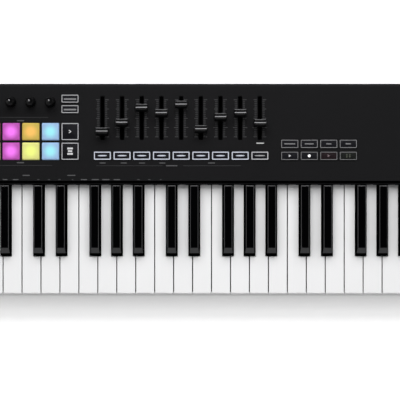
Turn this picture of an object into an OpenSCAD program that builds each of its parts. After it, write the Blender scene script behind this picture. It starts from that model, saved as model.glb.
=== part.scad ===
// Controller keyboard with 61 keys, sixteen pads, eight knobs, nine faders and two wheels.
// X runs along the case from the bass end to the treble end, Y towards the rear wall and Z up.
// The origin is under the middle of the case, on the surface that it stands on.

/* [Case] */
// Width of the case over both ends
case_w = 952; // [950:1:956]
// Depth of the case from the key fronts to the rear wall
case_d = 260; // [260:1:262]
// Height of the control panel above the table
panel_z = 63; // [63:0.5:65]
// Thickness of the moulded walls
wall = 2.5; // [2.2:0.1:2.6]
// Width of the cheek at the treble end
cheek_w = 14.9; // [14.5:0.1:15.2]
// Height of the rubber feet
foot_h = 4; // [3:0.5:4]
// Drop of the case ends from the panel to their front
end_drop = 8.5; // [7:0.5:9]

/* [Keys] */
// Distance from one white key to the next
key_pitch = 23.5; // [23.4:0.05:23.5]
// Gap between neighbouring white keys
key_gap = 1.3; // [0.8:0.1:1.4]
// Height of the white keys above the table
key_top_z = 50; // [49.5:0.25:50]
// Depth of a white key's front face
key_front_h = 18; // [16:0.5:18]
// How far the black keys stand above the white ones
sharp_rise = 11.5; // [9:0.5:11.5]
// Width of a black key at its foot
sharp_w = 13.6; // [12.6:0.2:13.6]
// Width of a black key at its top, over the rounds
sharp_top_w = 10.6; // [9.6:0.2:11.2]
// Reach of the black keys in front of the panel edge
sharp_reach = 92.4; // [90:0.1:95]

/* [Controls] */
// Spacing of the control columns
grid = 24.2; // [24.2:0.05:24.4]
// Side of a pad
pad_w = 21; // [20:0.1:21.2]
// Width of the wide buttons
button_w = 21.2; // [20:0.1:21.4]
// Depth of the wide buttons
button_d = 10.3; // [9:0.1:10.4]
// How far the buttons stand above the panel
button_rise = 1.2; // [0.8:0.1:2]
// How far the pads stand above the panel
pad_rise = 1.5; // [1:0.1:3]
// Diameter of a knob
knob_dia = 13; // [11:0.5:15]
// Height of a knob above the panel
knob_rise = 14; // [10:0.5:16]
// Length of a fader's slot
slot_len = 52.9; // [52.6:0.1:53.4]
// Width of a fader's slot
slot_w = 4.4; // [3:0.1:5]
// Width of a fader cap
cap_w = 15.4; // [12:0.2:18]
// Depth of a fader cap
cap_d = 9; // [8:0.2:12]
// Radius of the pitch and modulation wheels
wheel_r = 28; // [26:0.5:28]
// Thickness of each wheel
wheel_t = 12; // [10:0.5:12]

/* [Hidden] */
$fn = 48;
OCTAVES = 5;
KNOBS = 8;
FADERS = 9;
FIXED = [
    "top_case", "bottom_case", "rubber_feet", "case_screws", "key_chassis", "key_pivot_rod",
    "key_springs", "key_felts", "key_contact_board", "key_contact_rubber", "control_board",
    "button_mat", "fader_bodies", "knob_pots", "display_module", "display_window", "wheel_housing",
    "io_board", "usb_socket", "midi_socket", "pedal_jack", "ribbon_cables"];
MOVING = ["pitch_wheel", "mod_wheel", "pads", "fader_buttons", "transport_buttons",
    "function_buttons"];

// Levels of the case, from the floor of the lower shell up
floor_z = foot_h;
floor_top = floor_z + wall;
split_z = 34;
panel_low = panel_z - wall;
board_t = 1.6;
control_z = 49;
control_top = control_z + board_t;
chassis_z = 8;
sheet_t = 2;
chassis_top = chassis_z + sheet_t;
io_z = 9;
io_top = io_z + board_t;
eps = 0.5;

// Plan of the case: rear bay over the full width, wheel section on the left, cheek on the right
half_w = case_w / 2;
half_d = case_d / 2;
corner_r = 5;
panel_edge = 10.3;
octave_w = 7 * key_pitch;
white_count = 7 * OCTAVES + 1;
key_x0 = half_w - 0.5 - cheek_w - white_count * key_pitch;
well_x0 = key_x0 - 0.5;
well_x1 = half_w - cheek_w;
rail_y = -half_d + 0.8;
rail_top = 20;
inner_w = case_w - 2 * wall;
inner_d = case_d - 2 * wall;

// Key geometry, in the frame of an octave that starts at x = 0
SHARP_AT = [0.902, 2.089, 3.871, 5.011, 6.155];
LEFT_SHARP = [-1, 0, 1, -1, 2, 3, 4, -1];
RIGHT_SHARP = [0, 1, -1, 2, 3, 4, -1, -1];
WHITE_SLOT = [0, 2, 4, 5, 7, 9, 11, 12];
SHARP_SLOT = [1, 3, 6, 8, 10];
key_low = key_top_z - key_front_h;
key_wall = 1.8;
lip_h = 3.5;
lip_out = 1.2;
lip_r = 2;
sharp_clear = 0.6;
neck = sharp_w / 2 + sharp_clear;
sharp_front = panel_edge - sharp_reach;
sharp_heel = 2.5;
sharp_heel_d = 0.4;
sharp_nose_d = 3.2;
sharp_nose_drop = 5;
sharp_slope = 9.9;
sharp_round = 1.4;
sharp_back = 4.8;
sharp_low = key_low + 4;
sharp_body_w = 11;
notch_y = sharp_front - 1.3;
key_back = 5.3;
actuator_y0 = -44;
actuator_y1 = -28;
slot_pitch = octave_w / 12;
stem_w = 8;
stem_z0 = 38;
stem_z1 = 46;
pivot_y = 55;
pivot_z = 40;
rod_r = 1.5;
running_clear = 0.05;
block_y0 = 51;
block_y1 = 59;
tail_y0 = 61;
tail_y1 = 67;
tail_t = 2.4;
TAIL_Z = [34, 38.8, 43.6];
lip_z = 48;

// Places of the controls on the panel
fader_mid_x = -23.4;
fader_y0 = 61;
FADER_REST = [70.7, 81.5, 99.7, 93.3, 103.6, 73.6, 88.4, 93.3, 81];
pad_x0 = -184.1;
PAD_ROWS = [70.8, 46.7];
knob_y = 107;
fader_button_y = 41.2;
transport_x0 = 110.1;
transport_pitch = 24;
TRANSPORT_ROWS = [55.7, 41];
SQUARE_AT = [for (x = [pad_x0 + grid, pad_x0 - KNOBS * grid], y = PAD_ROWS) [x, y]];
side_x0 = pad_x0 - (KNOBS + 1) * grid;
SIDE_ROWS = [70.6, 55.9, 41.2];
small_x = -160;
SMALL_ROWS = [111.3, 98.4];
small_d = 9.9;
octave_button_y = 21;
button_gap = 0.3;
flange = 0.8;
flange_t = 1.5;
flange_z = 53.5;
mat_t = 1;
dome_h = 0.6;
dome_r = 3.5;
pot_w = 9.5;
pot_h = 6.5;
shaft_r = 3;
shaft_low = 53;
display_x = -426;
display_y = 100;
display_w = 70;
display_d = 26;
fader_body_w = 9;
fader_body_h = 7;
fader_body_y0 = 56.5;
fader_body_len = 61;
lever_t = 1.6;
lever_d = 5;
cap_z = 64.5;
cap_h = 10.5;

// Wheels and their housing
WHEEL_X = [-448, -412];
wheel_y = -60;
wheel_z = 38;
axle_r = 2;
wheel_slot_w = wheel_t + 2;
wheel_slot_d = 46;
mod_rest = 35;
bracket_t = 2.5;
bracket_gap = 1.5;

// Rear sockets, screws, feet and supports
usb_x = -330;
usb_w = 12;
usb_h = 11;
midi_x = -365;
midi_z = io_top + 10;
midi_bore_r = 6.75;
pin_circle_r = 3.5;
jack_x = -400;
jack_z = io_top + 7.5;
jack_bore_r = 3.2;
lock_x = -290;
POST_AT = [[-440, 122], [-265, 122], [-84, 122], [84, 122], [265, 122], [440, 122],
    [-430, -118], [468.5, -110]];
post_r = 3.8;
post_foot = 10;
CHASSIS_SCREW_AT = [for (x = [-300, -80, 140, 360], y = [-84, 15]) [x, y]];
FEET_AT = [for (x = [-440, -150, 150, 440], y = [-102, 104]) [x, y]];
foot_r = 9;
HOLD_DOWN_AT = [for (x = [-341.4, -196.2, -108.1, -11.3, 61.3, 194], y = [29, 92]) [x, y]];
screw_r = 1.45;
screw_hole_r = 1.5;
screw_free_r = 1.7;
screw_head_r = 3;
screw_head_h = 2;
screw_len = 12;
case_screw_z = 5;
chassis_screw_z = floor_z + 0.4;

function fader_x(i) = fader_mid_x + grid * (i - 5);
function knob_x(i) = pad_x0 - grid * (KNOBS - i);
function key_left(i) = i * key_pitch + key_gap / 2;
function key_right(i) = (i + 1) * key_pitch - key_gap / 2;
function neck_left(i) =
    LEFT_SHARP[i] < 0 ? key_left(i) : SHARP_AT[LEFT_SHARP[i]] * key_pitch + neck;
function neck_right(i) =
    RIGHT_SHARP[i] < 0 ? key_right(i) : SHARP_AT[RIGHT_SHARP[i]] * key_pitch - neck;
function stem_x(slot) = (slot + 0.5) * slot_pitch;
function octave_x(k) = key_x0 + (k - 1) * octave_w;
function arc(cx, cy, r, from, to, n = 5) =
    [for (i = [0 : n]) let (a = from + (to - from) * i / n) [cx + r * cos(a), cy + r * sin(a)]];
function round_rect(w, d, r) = concat(
    arc(w / 2 - r, d / 2 - r, r, 0, 90), arc(r - w / 2, d / 2 - r, r, 90, 180),
    arc(r - w / 2, r - d / 2, r, 180, 270), arc(w / 2 - r, r - d / 2, r, 270, 360));
TRANSPORT_AT = [for (i = [0 : 3], y = TRANSPORT_ROWS) [transport_x0 + i * transport_pitch, y]];
WIDE_FUNCTION_AT = concat(
    [for (i = [0 : 2], y = SIDE_ROWS) [side_x0 - i * grid, y]],
    [for (x = WHEEL_X) [x, octave_button_y]]);
SMALL_AT = [for (y = SMALL_ROWS) [small_x, y]];
FADER_BUTTON_AT = [for (i = [1 : FADERS]) [fader_x(i), fader_button_y]];
PAD_AT = [for (i = [1 : KNOBS], y = PAD_ROWS) [knob_x(i), y]];

// A box centred on x and y, standing on z
module block(x, y, z, w, d, h) {
    translate([x - w / 2, y - d / 2, z])
        cube([w, d, h]);
}

// A profile in Y and Z, drawn along X from x to x + len
module along_x(x, len, points) {
    translate([x, 0, 0])
        rotate([90, 0, 90])
            linear_extrude(len)
                polygon(points);
}

// A cylinder along X
module rod_x(x, y, z, r, len) {
    translate([x, y, z])
        rotate([0, 90, 0])
            cylinder(r = r, h = len);
}

// A cylinder along Y
module rod_y(x, y, z, r, len) {
    translate([x, y + len, z])
        rotate([90, 0, 0])
            cylinder(r = r, h = len);
}

module case_plan(inset, h) {
    linear_extrude(h)
        polygon(round_rect(case_w - 2 * inset, case_d - 2 * inset, corner_r));
}

// The upper outline of the case seen from its end, moved inwards by inset
function end_outline(inset) = concat(
    [[half_d - inset, split_z - (inset > 0 ? 1 : 0)]],
    arc(half_d - 4, panel_z - 4, 4 - inset, 0, 90),
    [[panel_edge, panel_z - inset]],
    arc(4 - half_d, panel_z - end_drop - 4, 4 - inset, 90, 180),
    [[inset - half_d, split_z - (inset > 0 ? 1 : 0)]]);

module top_shell() {
    difference() {
        intersection() {
            along_x(-half_w, case_w, end_outline(0));
            case_plan(0, panel_z + 1);
        }
        along_x(-inner_w / 2, well_x0 - wall + inner_w / 2, end_outline(wall));
        along_x(well_x1 + wall, inner_w / 2 - well_x1 - wall, end_outline(wall));
        translate([-inner_w / 2, panel_edge + wall, split_z - 1])
            cube([inner_w, half_d - wall - panel_edge - wall, panel_low - split_z + 1]);
        translate([well_x0, -half_d - 1, split_z - 1])
            cube([well_x1 - well_x0, half_d + 1 + panel_edge, panel_z]);
        translate([well_x0, panel_edge - 1, split_z - 1])
            cube([well_x1 - well_x0, wall + 2, lip_z - split_z + 1]);
    }
}

module case_posts() {
    for (p = POST_AT)
        translate([p[0], p[1], post_foot])
            cylinder(r = post_r, h = (p[1] > 0 ? panel_low : panel_low - end_drop + 1) - post_foot + eps);
    for (p = HOLD_DOWN_AT)
        translate([p[0], p[1], control_top])
            cylinder(r = 2.5, h = panel_low - control_top + eps);
}

module openings(places, w, d) {
    for (p = places)
        block(p[0], p[1], panel_low - 1, w + 2 * button_gap, d + 2 * button_gap, wall + 2);
}

module top_case() {
    color("#222225")
    difference() {
        union() {
            top_shell();
            case_posts();
        }
        for (p = POST_AT)
            translate([p[0], p[1], post_foot - eps])
                cylinder(r = screw_hole_r, h = screw_len + 2);
        openings(PAD_AT, pad_w, pad_w);
        openings(SQUARE_AT, button_w, button_w);
        openings(FADER_BUTTON_AT, button_w, button_d);
        openings(TRANSPORT_AT, button_w, button_d);
        openings(WIDE_FUNCTION_AT, button_w, button_d);
        openings(SMALL_AT, button_w, small_d);
        openings([[display_x, display_y]], display_w, display_d);
        for (i = [1 : KNOBS])
            translate([knob_x(i), knob_y, panel_low - 1])
                cylinder(r = shaft_r + 1.2, h = wall + 2);
        for (i = [1 : FADERS])
            block(fader_x(i), fader_y0 + slot_len / 2, panel_low - 1, slot_w, slot_len, wall + 2);
        for (x = WHEEL_X)
            block(x, wheel_y, split_z, wheel_slot_w, wheel_slot_d, panel_z - split_z);
    }
}

module bottom_case() {
    color("#1d1d20")
    difference() {
        union() {
            difference() {
                translate([0, 0, floor_z])
                    case_plan(0, split_z - floor_z);
                translate([-inner_w / 2, rail_y + wall, floor_top])
                    cube([inner_w, half_d - wall - rail_y - wall, split_z]);
                translate([-inner_w / 2, -inner_d / 2, floor_top])
                    cube([well_x0 - wall + inner_w / 2, inner_d / 2, split_z]);
                translate([well_x1 + wall, -inner_d / 2, floor_top])
                    cube([inner_w / 2 - well_x1 - wall, inner_d / 2, split_z]);
                translate([well_x0, -half_d - 1, floor_z - 1])
                    cube([well_x1 - well_x0, rail_y + half_d + 1, split_z]);
                translate([well_x0, -half_d - 1, rail_top])
                    cube([well_x1 - well_x0, half_d / 2, split_z]);
            }
            translate([well_x0 - wall, rail_y, floor_z + 1])
                cube([wall, panel_edge - rail_y, split_z - floor_z - 1]);
            translate([well_x1, rail_y, floor_z + 1])
                cube([wall, panel_edge - rail_y, split_z - floor_z - 1]);
            for (p = POST_AT)
                translate([p[0], p[1], floor_top - eps])
                    cylinder(r = post_r, h = post_foot - floor_top + eps);
            for (p = CHASSIS_SCREW_AT)
                translate([p[0], p[1], floor_top - eps])
                    cylinder(r = 5, h = chassis_z - floor_top + eps);
            for (x = [jack_x - 12, usb_x + 12], y = [94, 110])
                translate([x, y, floor_top - eps])
                    cylinder(r = 3, h = io_z - floor_top + eps);
        }
        for (p = POST_AT) {
            translate([p[0], p[1], floor_z - 1])
                cylinder(r = screw_free_r, h = post_foot);
            translate([p[0], p[1], floor_z - 1])
                cylinder(r = screw_head_r + 0.2, h = case_screw_z + screw_head_h - floor_z + 1);
        }
        for (p = CHASSIS_SCREW_AT) {
            translate([p[0], p[1], floor_z - 1])
                cylinder(r = screw_free_r, h = post_foot);
            translate([p[0], p[1], floor_z - 1])
                cylinder(r = screw_head_r + 0.2, h = chassis_screw_z + screw_head_h - floor_z + 1);
        }
        block(usb_x, half_d, io_top - 0.3, usb_w + 0.6, 3 * wall, usb_h + 0.6);
        rod_y(midi_x, half_d - 2 * wall, midi_z, 9, 4 * wall);
        rod_y(jack_x, half_d - 2 * wall, jack_z, 5.8, 4 * wall);
        block(lock_x, half_d, 15, 7, 3 * wall, 3);
        translate([well_x0 - 2 * wall, -29, 12])
            cube([3 * wall, 20, 8]);
    }
}

module rubber_feet() {
    color("#111111")
    for (p = FEET_AT)
        translate([p[0], p[1], 0])
            cylinder(r = foot_r, h = floor_z);
}

module screw(x, y, z) {
    translate([x, y, z]) {
        difference() {
            cylinder(r = screw_head_r, h = screw_head_h);
            translate([-2, -0.4, -eps])
                cube([4, 0.8, 1 + eps]);
            translate([-0.4, -2, -eps])
                cube([0.8, 4, 1 + eps]);
        }
        translate([0, 0, screw_head_h])
            cylinder(r = screw_r, h = screw_len);
    }
}

module case_screws() {
    color("#9a9a9a") {
        for (p = POST_AT)
            screw(p[0], p[1], case_screw_z);
        for (p = CHASSIS_SCREW_AT)
            screw(p[0], p[1], chassis_screw_z);
    }
}

// One white key's moulded body, hollow from below, with its stem and pivot block
module white_key(i, slot) {
    front = -half_d;
    w = key_right(i) - key_left(i);
    nw = neck_right(i) - neck_left(i);
    difference() {
        union() {
            translate([key_left(i), front + lip_out, key_low])
                cube([w, notch_y - front - lip_out, key_front_h]);
            translate([key_left(i), front, key_top_z - lip_h])
                cube([w, 2 * lip_out, lip_h]);
            translate([neck_left(i), notch_y - 2, key_low])
                cube([nw, key_back - notch_y + 2, key_front_h]);
        }
        translate([key_left(i) + key_wall, front + lip_out + key_wall, key_low - 1])
            cube([w - 2 * key_wall, notch_y - front - lip_out - 2 * key_wall, key_front_h - 1.5]);
        for (span = [[notch_y + key_wall, actuator_y0], [actuator_y1, key_back - key_wall]])
            translate([neck_left(i) + key_wall, span[0], key_low - 1])
                cube([nw - 2 * key_wall, span[1] - span[0], key_front_h - 1.5]);
        lip_round(key_left(i) - eps, w + 2 * eps, front);
    }
    stem(slot, key_back - 1);
}

// What the round on the front edge of a white key takes away
module lip_round(x, len, front) {
    difference() {
        translate([x, front - eps, key_top_z - lip_r])
            cube([len, lip_r + eps, lip_r + eps]);
        rod_x(x - eps, front + lip_r, key_top_z - lip_r, lip_r, len + 2 * eps);
    }
}

// The part of a key behind the panel edge: stem, pivot block
module stem(slot, from_y) {
    x = stem_x(slot) - stem_w / 2;
    translate([x, from_y, stem_z0])
        cube([stem_w, block_y0 - from_y + 1, stem_z1 - stem_z0]);
    translate([x, block_y0, TAIL_Z[0]])
        cube([stem_w, block_y1 - block_y0, stem_z1 - TAIL_Z[0]]);
}

// One black key: tapered cap over a hollow body
module black_key(i) {
    x = SHARP_AT[i] * key_pitch;
    z0 = key_top_z - 2;
    z1 = key_top_z + sharp_rise;
    r = sharp_round;
    difference() {
        union() {
            intersection() {
                along_x(x - sharp_w, 2 * sharp_w, concat([[sharp_front, z0],
                    [sharp_front + sharp_heel_d, z0 + sharp_heel],
                    [sharp_front + sharp_nose_d, z1 - sharp_nose_drop],
                    [sharp_front + sharp_slope, z1]],
                    arc(sharp_back - r, z1 - r, r, 90, 0), [[sharp_back, z0]]));
                translate([x, sharp_back + 1, 0])
                    rotate([90, 0, 0])
                        linear_extrude(sharp_reach + 2)
                            polygon(concat([[-sharp_w / 2, z0], [sharp_w / 2, z0]],
                                arc(sharp_top_w / 2 - r, z1 - r, r, 0, 90),
                                arc(r - sharp_top_w / 2, z1 - r, r, 90, 180)));
            }
            translate([x - sharp_body_w / 2, sharp_front + 2, sharp_low])
                cube([sharp_body_w, key_back - sharp_front - 2, z0 + 1 - sharp_low]);
            translate([x - stem_w / 2, actuator_y0, key_low])
                cube([stem_w, actuator_y1 - actuator_y0, sharp_low - key_low + 1]);
        }
        for (span = [[sharp_front + 4, actuator_y0], [actuator_y1, key_back - key_wall]])
            translate([x - sharp_body_w / 2 + key_wall, span[0], sharp_low - 1])
                cube([sharp_body_w - 2 * key_wall, span[1] - span[0], z0 + 5 - sharp_low]);
    }
    stem(SHARP_SLOT[i], key_back - 1);
}

// Bores the pivot through a comb of keys and joins the keys with their tail strip
module comb(k, slots, level) {
    x0 = stem_x(min(slots)) - stem_w / 2;
    x1 = stem_x(max(slots)) + stem_w / 2;
    translate([octave_x(k), 0, 0])
    difference() {
        union() {
            children();
            for (s = slots)
                translate([stem_x(s) - stem_w / 2, block_y1 - 1, TAIL_Z[level]])
                    cube([stem_w, tail_y0 - block_y1 + 2, tail_t]);
            translate([x0, tail_y0, TAIL_Z[level]])
                cube([x1 - x0, tail_y1 - tail_y0, tail_t]);
        }
        rod_x(x0 - 1, pivot_y, pivot_z, rod_r + running_clear, x1 - x0 + 2);
    }
}

module white_keys_cegb(k) {
    keys = k == OCTAVES ? [0, 2, 4, 6, 7] : [0, 2, 4, 6];
    color("#efefee")
        comb(k, [for (i = keys) WHITE_SLOT[i]], 0)
            for (i = keys)
                white_key(i, WHITE_SLOT[i]);
}

module white_keys_dfa(k) {
    keys = [1, 3, 5];
    color("#efefee")
        comb(k, [for (i = keys) WHITE_SLOT[i]], 1)
            for (i = keys)
                white_key(i, WHITE_SLOT[i]);
}

module black_keys(k) {
    color("#0c0c0d")
        comb(k, SHARP_SLOT, 2)
            for (i = [0 : 4])
                black_key(i);
}

// Every key's stem centre, from the lowest key up
STEMS = [for (n = [0 : 12 * OCTAVES]) key_x0 + stem_x(n)];
LUG_X = concat([for (k = [0 : OCTAVES]) key_x0 + k * octave_w + 0.2],
    [for (k = [0 : OCTAVES - 1]) key_x0 + k * octave_w + 5 * slot_pitch - 1],
    [key_x0 + OCTAVES * octave_w + slot_pitch + 0.2]);
lug_t = 2;
felt_h = 2.6;
edge_felt_t = 4.4;
shelf_y0 = -113;
shelf_y1 = -91;
plate_x0 = well_x0 + 1.5;
plate_x1 = well_x1 - 1.5;
plate_w = plate_x1 - plate_x0;

module key_chassis() {
    color("#8d8f92")
    difference() {
        union() {
            translate([plate_x0, -120, chassis_z])
                cube([plate_w, 194, sheet_t]);
            for (y = [shelf_y0, shelf_y1 - sheet_t])
                translate([plate_x0, y, chassis_z])
                    cube([plate_w, sheet_t, rail_top - chassis_z]);
            translate([plate_x0, shelf_y0, rail_top - sheet_t])
                cube([plate_w, shelf_y1 - shelf_y0, sheet_t]);
            for (y = [-52, -22])
                translate([plate_x0, y, chassis_z])
                    cube([plate_w, sheet_t, 6]);
            for (n = [0 : white_count - 1])
                block(key_x0 + (n + 0.5) * key_pitch, -95.5, rail_top - eps, 8, 5, 16.5);
            for (k = [1 : OCTAVES], s = SHARP_AT)
                block(octave_x(k) + s * key_pitch, -73.5, chassis_z + eps, 4, 5, 33.5);
            for (x = LUG_X)
                translate([x, 49, chassis_z])
                    cube([lug_t, 11, 36]);
            for (p = CHASSIS_SCREW_AT)
                translate([p[0], p[1], chassis_z])
                    cylinder(r = 4.5, h = screw_len);
        }
        rod_x(key_x0 - 1, pivot_y, pivot_z, rod_r + 0.02, white_count * key_pitch + 2);
        for (p = CHASSIS_SCREW_AT)
            translate([p[0], p[1], chassis_z - 1])
                cylinder(r = screw_hole_r, h = screw_len + 2);
    }
}

module key_pivot_rod() {
    color("#b8babd")
        rod_x(key_x0, pivot_y, pivot_z, rod_r, OCTAVES * octave_w + slot_pitch + 3);
}

module key_springs() {
    color("#a8a9a4") {
        translate([plate_x0, 22, chassis_top])
            cube([plate_w, 6, 0.6]);
        for (x = STEMS)
            along_x(x - 2.5, 5, [[22, chassis_top], [22.8, chassis_top], [36, 30], [44, 36.2],
                [44, 36.9], [35.4, 30.4]]);
    }
}

module key_felts() {
    color("#141416") {
        translate([plate_x0, shelf_y0 + 1, rail_top])
            cube([plate_w, 11, felt_h]);
        translate([well_x0 + 0.3, panel_edge - edge_felt_t, lip_z - 1])
            cube([well_x1 - well_x0 - 0.6, edge_felt_t, 9]);
        translate([plate_x0, 62, chassis_top])
            cube([plate_w, 10, 2]);
    }
}

module key_contact_board() {
    color("#2f6b3c")
        translate([plate_x0 + 1, -55, chassis_z + 6])
            cube([plate_w - 2, 45, board_t]);
}

module key_contact_rubber() {
    z = chassis_z + 6 + board_t;
    color("#c9c9c4") {
        translate([plate_x0 + 2, -45, z])
            cube([plate_w - 4, 18, 1]);
        for (x = STEMS, y = [-40, -32])
            translate([x, y, z + 1])
                cylinder(r1 = 3.6, r2 = 2.4, h = 9.5);
    }
}

module control_board() {
    color("#2f6b3c")
    translate([0, 0, control_z])
        linear_extrude(board_t)
            polygon([[-468, 116], [200, 116], [200, 24], [-391, 24], [-391, -28], [-468, -28]]);
}

module mat_area(x0, x1, y0, y1) {
    translate([x0, y0, control_top])
        cube([x1 - x0, y1 - y0, mat_t]);
}

module domes(places) {
    for (p = places)
        translate([p[0], p[1], control_top + mat_t - 0.1])
            cylinder(r = dome_r, h = dome_h + 0.1);
}

module button_mat() {
    margin = 11.5;
    color("#bdbdb8") {
        mat_area(side_x0 - 2 * grid - margin, small_x + margin, 35, 84);
        mat_area(fader_x(1) - margin, fader_x(FADERS) + margin, 35.5, 48);
        mat_area(transport_x0 - margin, transport_x0 + 3 * transport_pitch + margin, 35.5, 62.5);
        mat_area(small_x - margin, small_x + margin, 93.5, 118 - 2.5);
        mat_area(WHEEL_X[0] - margin, WHEEL_X[1] + margin, 15, 27);
        domes(PAD_AT);
        domes(SQUARE_AT);
        domes(FADER_BUTTON_AT);
        domes(TRANSPORT_AT);
        domes(WIDE_FUNCTION_AT);
        domes(SMALL_AT);
    }
}

module fader_bodies() {
    color("#3a3a3c")
    for (i = [1 : FADERS])
        difference() {
            translate([fader_x(i) - fader_body_w / 2, fader_body_y0, control_top])
                cube([fader_body_w, fader_body_len, fader_body_h]);
            block(fader_x(i), fader_y0 + slot_len / 2, control_top + 1.6, 2.4, slot_len, 7);
        }
}

module knob_pots() {
    color("#6d6f70")
    for (i = [1 : KNOBS])
        difference() {
            block(knob_x(i), knob_y, control_top, pot_w, pot_w, pot_h);
            translate([knob_x(i), knob_y, shaft_low - 1])
                cylinder(r = shaft_r + running_clear, h = pot_h);
        }
}

module display_module() {
    color("#16261c")
        block(display_x, display_y, control_top, display_w + 6, display_d + 4, 9.4);
}

module display_window() {
    color("#0a0d10")
        block(display_x, display_y, control_top + 9.4, display_w, display_d, 2.6);
}

module wheel_housing() {
    color("#2b2b2e")
    difference() {
        union() {
            translate([WHEEL_X[0] - 12, wheel_y - 22, floor_top])
                cube([WHEEL_X[1] - WHEEL_X[0] + 24, 44, 2]);
            for (x = WHEEL_X, side = [-1, 1])
                along_x(x + side * (wheel_t / 2 + bracket_gap + bracket_t / 2) - bracket_t / 2,
                    bracket_t, [[wheel_y - 16, floor_top], [wheel_y + 16, floor_top],
                    [wheel_y + 6, wheel_z + 6], [wheel_y - 6, wheel_z + 6]]);
        }
        rod_x(WHEEL_X[0] - 20, wheel_y, wheel_z, axle_r + running_clear, 80);
    }
}

// A wheel with its stub axles and a finger hollow turned forward by tilt degrees
module wheel(x, tilt) {
    reach = wheel_t / 2 + bracket_gap + bracket_t - 0.2;
    difference() {
        rod_x(x - wheel_t / 2, wheel_y, wheel_z, wheel_r, wheel_t);
        for (side = [-1, 1])
            rod_x(x + side * (wheel_t / 2 - 1) - 2, wheel_y, wheel_z, wheel_r - 5, 4);
        translate([x, wheel_y, wheel_z])
            rotate([tilt, 0, 0])
                rod_x(-wheel_t, 0, wheel_r + 6, 9, 2 * wheel_t);
    }
    rod_x(x - reach, wheel_y, wheel_z, axle_r, 2 * reach);
    rod_x(x - wheel_t / 2, wheel_y, wheel_z, 2 * axle_r, wheel_t);
}

module pitch_wheel() {
    color("#19191b")
        wheel(WHEEL_X[0], 0);
}

module mod_wheel() {
    color("#19191b")
        wheel(WHEEL_X[1], mod_rest);
}

module io_board() {
    color("#2f6b3c")
        translate([jack_x - 16, 90, io_z])
            cube([usb_x - jack_x + 32, 36, board_t]);
}

module usb_socket() {
    color("#c4c6c8")
    difference() {
        block(usb_x, half_d - 8, io_top, usb_w, 16, usb_h);
        translate([usb_x - 4.3, half_d - 12, io_top + 1.55])
            cube([8.6, 13, 7.9]);
    }
    color("#e8e8e4")
        translate([usb_x - 2.8, half_d - 12 - eps, io_top + 4])
            cube([5.6, 5 + eps, 3]);
}

module midi_socket() {
    color("#101012")
    difference() {
        union() {
            block(midi_x, half_d - wall - 7.25, io_top, 20, 14.5, 20);
            rod_y(midi_x, half_d - wall - eps, midi_z, 8.8, wall + eps);
        }
        rod_y(midi_x, half_d - 10, midi_z, midi_bore_r, 12);
        for (a = [0 : 45 : 180])
            translate([midi_x, 0, midi_z])
                rotate([0, -a, 0])
                    rod_y(pin_circle_r, half_d - 14, 0, 0.8, 5);
    }
}

module pedal_jack() {
    color("#18181a")
    difference() {
        union() {
            block(jack_x, half_d - wall - 10, io_top, 15, 20, 15);
            rod_y(jack_x, half_d - wall - eps, jack_z, 5.6, wall + eps);
        }
        rod_y(jack_x, half_d - 18, jack_z, jack_bore_r, 20);
    }
}

module ribbon_cables() {
    t = 0.9;
    color("#b9b9b9") {
        along_x(-392, 20, [[100, io_top], [100, 20], [96, 30], [96, 40], [100, control_z],
            [100 + t, control_z], [96 + t, 40], [96 + t, 30], [100 + t, 20], [100 + t, io_top]]);
        translate([0, -12, 0])
            rotate([90, 0, 0])
                linear_extrude(14)
                    polygon([[-383, 16.5], [-391, 16.5], [-394, 19.5], [-394, control_z],
                        [-394 - t, control_z], [-394 - t, 19.1], [-391.4, 15.6], [-383, 15.6]]);
    }
}

// A row of keycaps or pads, each with a retaining flange under the panel
module press_caps(places, w, d, rise) {
    for (p = places) {
        block(p[0], p[1], flange_z, w, d, panel_z + rise - flange_z);
        block(p[0], p[1], flange_z, w + 2 * flange, d + 2 * flange, flange_t);
    }
}

module pads() {
    color("#b8a0c8")
        press_caps(PAD_AT, pad_w, pad_w, pad_rise);
}

module fader_buttons() {
    color("#2a2a2c")
        press_caps(FADER_BUTTON_AT, button_w, button_d, button_rise);
}

module transport_buttons() {
    color("#2a2a2c")
        press_caps(TRANSPORT_AT, button_w, button_d, button_rise);
}

module function_buttons() {
    color("#2a2a2c") {
        press_caps(SQUARE_AT, button_w, button_w, button_rise);
        press_caps(WIDE_FUNCTION_AT, button_w, button_d, button_rise);
        press_caps(SMALL_AT, button_w, small_d, button_rise);
    }
}

module knob(i) {
    r = knob_dia / 2;
    color("#1b1b1d")
    translate([knob_x(i), knob_y, 0])
        rotate_extrude()
            polygon([[0, shaft_low], [shaft_r, shaft_low], [shaft_r, panel_z + 1], [r, panel_z + 1],
                [r, panel_z + 2.5], [r - 0.6, panel_z + knob_rise - 0.8],
                [r - 1.4, panel_z + knob_rise], [0, panel_z + knob_rise]]);
}

module fader(i) {
    y = FADER_REST[i - 1];
    top = cap_z + cap_h;
    color("#1b1b1d")
    translate([fader_x(i), y, 0]) {
        block(0, 0, 53, lever_t, lever_d, cap_z + 1 - 53);
        along_x(-cap_w / 2, cap_w, [[-cap_d / 2, cap_z], [cap_d / 2, cap_z], [cap_d / 2, cap_z + 3],
            [cap_d / 2 - 1.2, top], [0, top - 1.5], [1.2 - cap_d / 2, top], [-cap_d / 2, cap_z + 3]]);
    }
}

top_case();
bottom_case();
rubber_feet();
case_screws();
key_chassis();
key_pivot_rod();
key_springs();
key_felts();
key_contact_board();
key_contact_rubber();
control_board();
button_mat();
fader_bodies();
knob_pots();
display_module();
display_window();
wheel_housing();
io_board();
usb_socket();
midi_socket();
pedal_jack();
ribbon_cables();
pitch_wheel();
mod_wheel();
pads();
fader_buttons();
transport_buttons();
function_buttons();
for (i = [1 : KNOBS])
    knob(i);
for (i = [1 : FADERS])
    fader(i);
for (i = [1 : OCTAVES])
    white_keys_cegb(i);
for (i = [1 : OCTAVES])
    white_keys_dfa(i);
for (i = [1 : OCTAVES])
    black_keys(i);
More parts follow.
